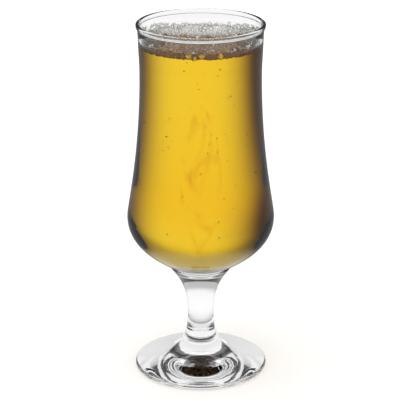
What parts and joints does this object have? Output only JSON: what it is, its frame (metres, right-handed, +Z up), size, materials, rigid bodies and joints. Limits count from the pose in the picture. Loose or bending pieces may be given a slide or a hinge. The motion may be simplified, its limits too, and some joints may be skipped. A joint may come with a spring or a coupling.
{
  "type": "tulip beer glass",
  "caption": "Clear stemmed tulip beer glass with a flared rim, round belly, short drawn stem and trumpet foot, filled with golden beer under a thin head of bubbles.",
  "frame": {"origin": "middle of the plane that the foot stands on", "axes": "+Z up along the glass's axis of revolution; +X and +Y are any two square directions across it"},
  "size_m": [0.077, 0.077, 0.1882],
  "materials": {
    "clear_glass": "clear colourless soda-lime glass, fire-polished",
    "beer": null,
    "foam": null
  },
  "bodies": {
    "root": {"foot": "clear_glass", "stem": "clear_glass", "bowl": "clear_glass", "beer": "beer", "foam_head": "foam"}
  },
  "joints": []
}
